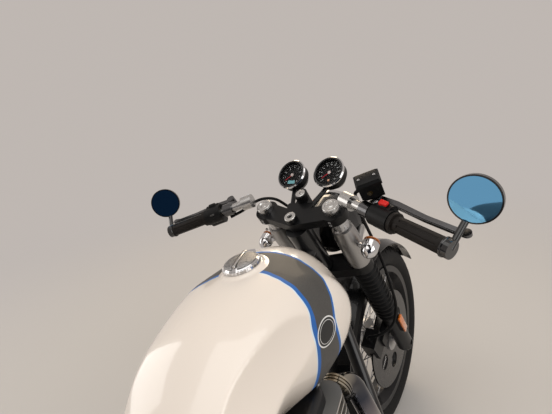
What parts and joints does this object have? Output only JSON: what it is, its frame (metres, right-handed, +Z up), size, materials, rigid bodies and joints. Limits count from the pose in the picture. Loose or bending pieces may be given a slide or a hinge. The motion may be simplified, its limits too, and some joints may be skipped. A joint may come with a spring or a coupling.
{
  "type": "cafe racer motorcycle",
  "caption": "Twin-cylinder cafe racer motorcycle with clip-on bars, bar-end mirrors, twin dials, wire wheels and a sculpted tank, leaning on its side stand.",
  "frame": {"origin": "floor level, at the middle of the standing machine's box", "axes": "+X towards the front wheel, +Y to the rider's left, +Z up from the floor"},
  "size_m": [2.0965, 0.8554, 1.0397],
  "materials": {
    "tyre": "matt",
    "rim": "gloss",
    "spokes": "polished",
    "alloy": "satin",
    "polished_alloy": "polished",
    "cast_alloy": "cast",
    "black_alloy": "satin black",
    "disc_steel": "ground",
    "steel": "machined",
    "chain_steel": "oiled",
    "spring_steel": "gloss",
    "frame_black": "gloss",
    "chrome": "polished",
    "tank_paint": "gloss",
    "seat_leather": "grained",
    "black_gloss": "gloss",
    "black_plastic": "satin",
    "lamp_red": "clear",
    "yoke_black": "satin black",
    "satin_alloy": "satin",
    "rubber": "matt",
    "lamp_glass": "clear",
    "mirror_blue": "tinted"
  },
  "bodies": {
    "chassis": {"air_box": "black_plastic", "chain_guard": "frame_black", "crankcase": "alloy", "cylinder_block": "cast_alloy", "cylinder_head": "cast_alloy", "drive_chain": "chain_steel", "engine_covers": "polished_alloy", "exhaust_headers": "chrome", "footrests": "black_alloy", "frame_cradle": "frame_black", "frame_spine": "frame_black", "frame_subframe": "frame_black", "fuel_tank": "tank_paint", "oil_cooler": "black_alloy", "rear_axle": "steel", "rear_lamps": "lamp_red", "rear_mudguard": "black_plastic", "seat": "seat_leather", "shock_absorbers": "black_alloy", "shock_springs": "spring_steel", "side_panels": "black_gloss", "silencers": "chrome", "stand_bracket": "frame_black", "swingarm": "frame_black"},
    "steering": {"front_axle": "steel", "top_yoke": "yoke_black", "lower_yoke": "yoke_black", "fork_tubes": "steel", "fork_shrouds": "satin_alloy", "fork_gaiters": "rubber", "fork_sliders": "black_alloy", "headlamp_shell": "black_gloss", "headlamp_rim": "chrome", "headlamp_lens": "lamp_glass", "gauge_cups": "black_plastic", "gauge_bezels": "chrome", "clip_ons": "satin_alloy", "grips": "rubber", "switchgear": "black_plastic", "hand_levers": "satin_alloy", "mirrors": "black_gloss", "mirror_glass": "mirror_blue", "front_mudguard": "black_gloss", "control_cables": "rubber", "brake_reservoir": "black_plastic", "front_indicators": "chrome"},
    "front_wheel": {"front_tyre": "tyre", "front_rim": "rim", "front_spokes": "spokes", "front_hub": "alloy", "front_disc": "disc_steel"},
    "rear_wheel": {"rear_tyre": "tyre", "rear_rim": "rim", "rear_spokes": "spokes", "rear_hub": "alloy", "rear_disc": "disc_steel", "rear_sprocket": "steel"},
    "side_stand": {"side_stand": "frame_black"},
    "filler_lid": {"filler_lid": "chrome"}
  },
  "joints": [
    {"name": "steering", "type": "hinge", "parent": "chassis", "child": "steering", "pos_m": [0.43907, -0.01772, 0.88637], "axis": [-0.4084, 0.1899, 0.8928], "range_deg": [-20, 46]},
    {"name": "front_wheel_spin", "type": "hinge", "parent": "steering", "child": "front_wheel", "pos_m": [0.73541, -0.14645, 0.3169], "axis": [0.2057, 0.9721, -0.1127], "continuous": true},
    {"name": "rear_wheel_spin", "type": "hinge", "parent": "chassis", "child": "rear_wheel", "pos_m": [-0.66382, -0.13893, 0.3141], "axis": [0.0004, 0.9781, -0.2079], "continuous": true},
    {"name": "side_stand_fold", "type": "hinge", "parent": "chassis", "child": "side_stand", "pos_m": [-0.0635, -0.04504, 0.14128], "axis": [0.0626, 0.8344, 0.5476], "range_deg": [0, 98.1]},
    {"name": "filler_lid_open", "type": "hinge", "parent": "chassis", "child": "filler_lid", "pos_m": [0.23608, -0.01175, 0.91409], "axis": [0.0004, 0.9781, -0.2079], "range_deg": [0, 95]}
  ]
}
